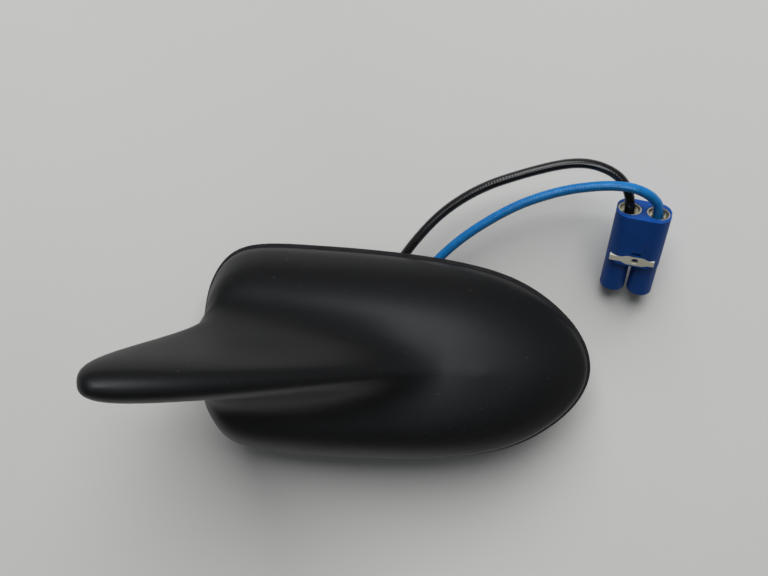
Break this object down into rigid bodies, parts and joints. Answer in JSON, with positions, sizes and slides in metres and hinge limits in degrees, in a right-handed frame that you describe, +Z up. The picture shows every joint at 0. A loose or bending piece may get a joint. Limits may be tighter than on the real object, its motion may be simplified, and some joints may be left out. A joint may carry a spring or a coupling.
{
  "type": "vehicle roof antenna",
  "caption": "Fin-shaped car roof antenna with rubber base seal, threaded mounting stud and short coaxial leads to a twin plug; fixed through a hole in the roof skin.",
  "frame": {"origin": "on the stud's axis, in the plane of the seal's underside, where it lies on the roof", "axes": "+X to the low nose end, +Y to the side where the leads come out, +Z up from the roof"},
  "size_m": [0.1613, 0.0998, 0.0795],
  "materials": {
    "cover_black": "fine-textured matt moulding",
    "seal_rubber": "matt rubber",
    "plate_metal": "die-cast, dull",
    "stud_steel": "zinc plated",
    "grommet_rubber": "matt rubber",
    "board_green": "solder mask",
    "patch_ceramic": "silvered ceramic",
    "feed_brass": "tinned brass",
    "can_tin": "tinned sheet",
    "element_sheet": "tinned sheet",
    "holder_plastic": "moulded",
    "screw_steel": "zinc plated",
    "plug_blue": "moulded, slight sheen",
    "lock_cream": "moulded",
    "jacket_black": "extruded, semi-gloss",
    "jacket_blue": "extruded, semi-gloss",
    "core_white": "extruded insulation",
    "crimp_nickel": "nickel plated",
    "contact_gold": "gold plated"
  },
  "bodies": {
    "root": {"cover": "cover_black", "base_seal": "seal_rubber", "base_plate": "plate_metal", "mounting_stud": "stud_steel", "cable_grommet": "grommet_rubber", "circuit_board": "board_green", "patch_antenna": "patch_ceramic", "patch_feed_pin": "feed_brass", "shield_can": "can_tin", "phone_element": "element_sheet", "element_holder": "holder_plastic", "board_screws": "screw_steel", "cover_screws": "screw_steel", "plug_housing": "plug_blue", "plug_lock": "lock_cream", "black_core": "core_white", "black_crimp": "crimp_nickel", "black_lead": "jacket_black", "black_collar": "crimp_nickel", "black_shell": "crimp_nickel", "black_insulator": "core_white", "black_contact": "contact_gold", "blue_core": "core_white", "blue_crimp": "crimp_nickel", "blue_lead": "jacket_blue", "blue_collar": "crimp_nickel", "blue_shell": "crimp_nickel", "blue_insulator": "core_white", "blue_contact": "contact_gold"}
  },
  "joints": []
}
